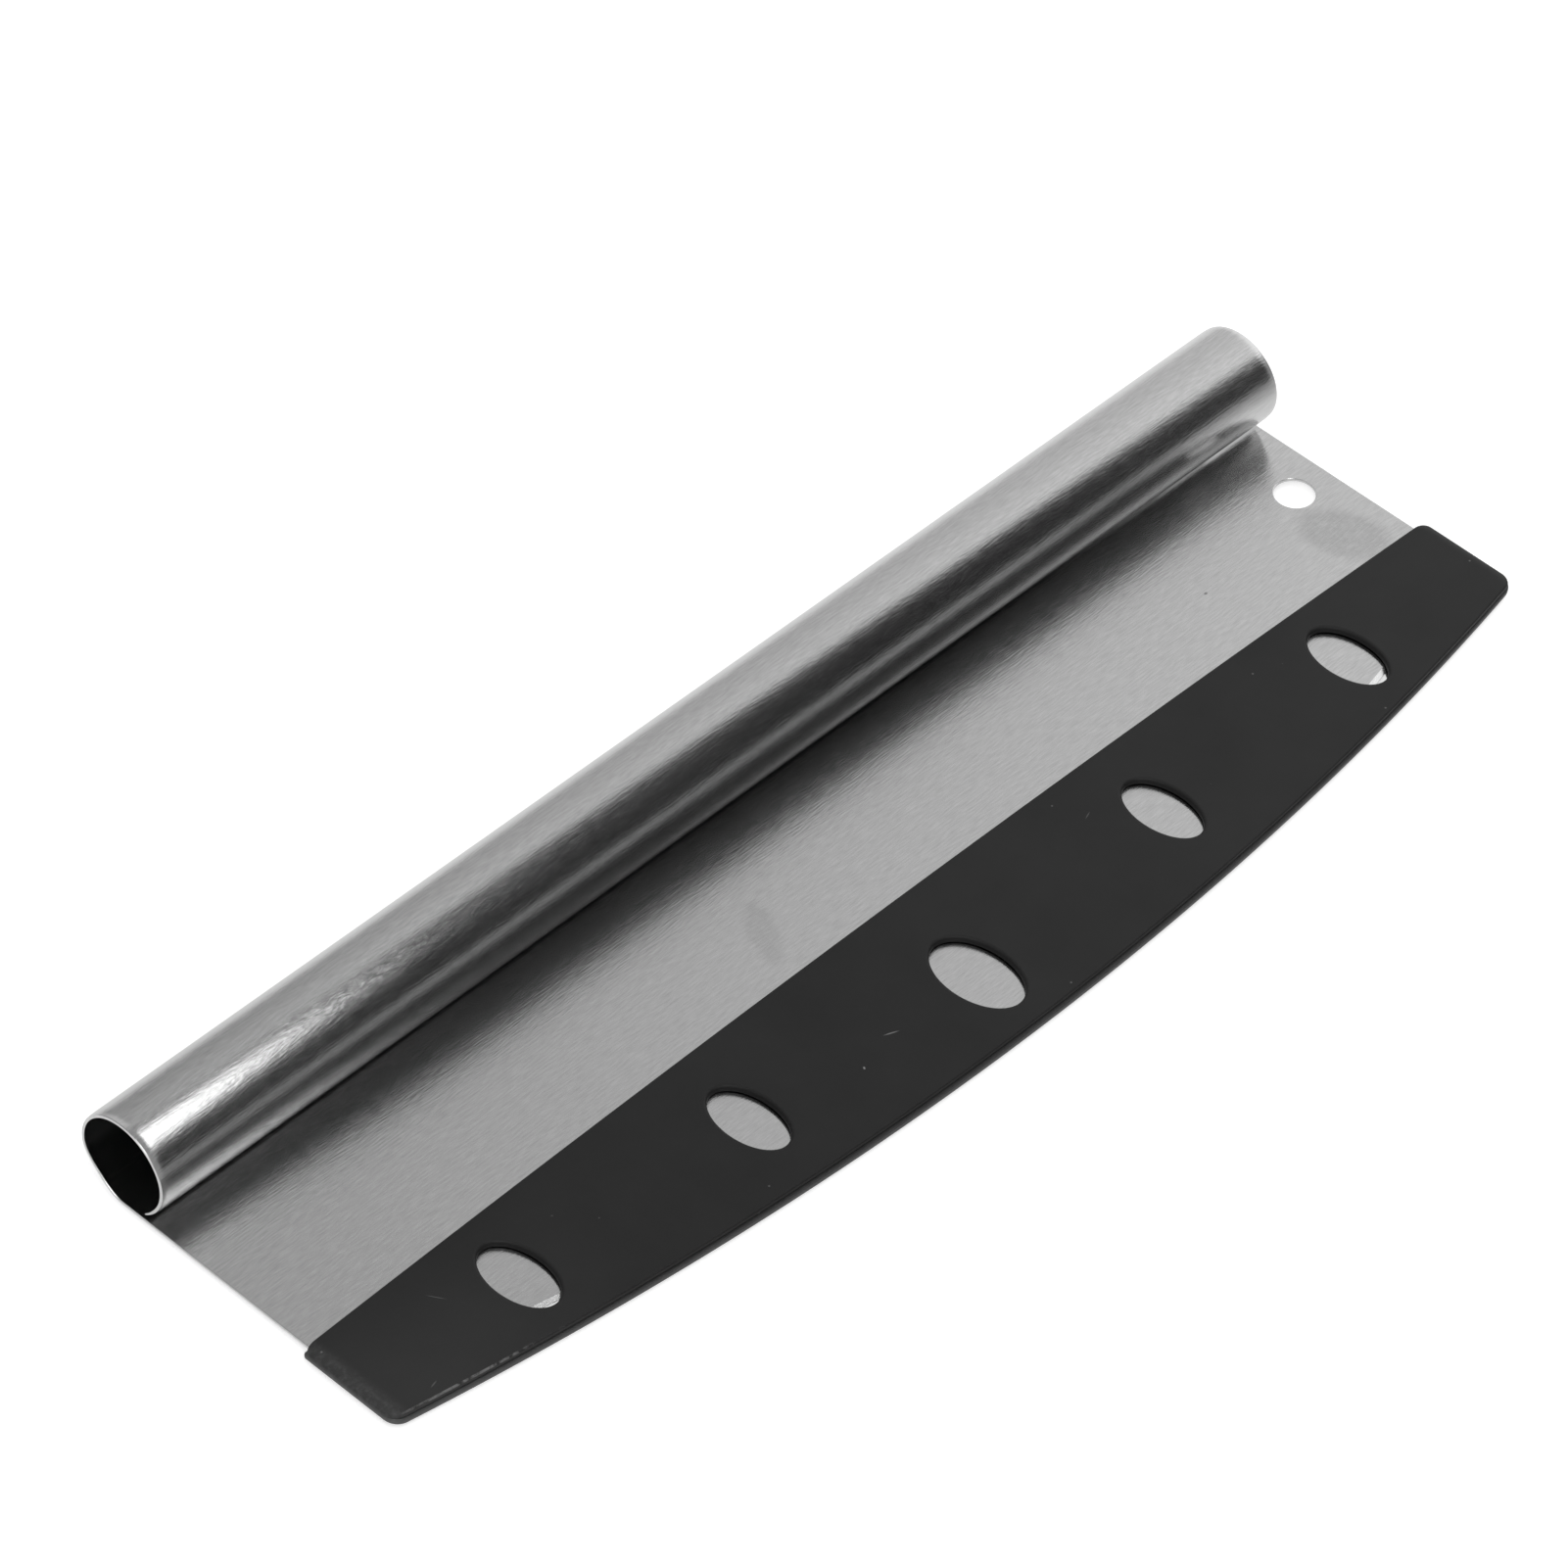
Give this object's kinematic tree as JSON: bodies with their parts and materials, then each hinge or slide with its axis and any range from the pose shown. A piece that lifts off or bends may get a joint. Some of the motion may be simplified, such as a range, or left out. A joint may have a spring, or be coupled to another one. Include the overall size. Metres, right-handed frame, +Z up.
{
  "type": "rocker pizza cutter",
  "caption": "Rocker pizza cutter: a stainless sheet with a curved cutting edge, its upper side rolled into a tubular handle, and a black plastic edge guard that pulls off.",
  "frame": {"origin": "Middle of the part's box at its lowest level, which is the guard's flat back face.", "axes": "+X runs along the handle towards the end with the hanging hole, +Y from the cutting edge to the handle, +Z up from the flat back to the side that the handle is rolled on."},
  "size_m": [0.3542, 0.1118, 0.0264],
  "materials": {
    "brushed_steel": "stainless sheet, brushed along the handle",
    "black_plastic": "black moulded plastic with a fine matte texture"
  },
  "bodies": {
    "cutter": {"rolled_blade": "brushed_steel"},
    "guard": {"guard_front_plate": "black_plastic", "guard_back_tray": "black_plastic"}
  },
  "joints": [
    {"name": "guard_slide", "type": "slide", "parent": "cutter", "child": "guard", "axis": [0, -1, 0], "range_m": [0, 0.06]}
  ]
}
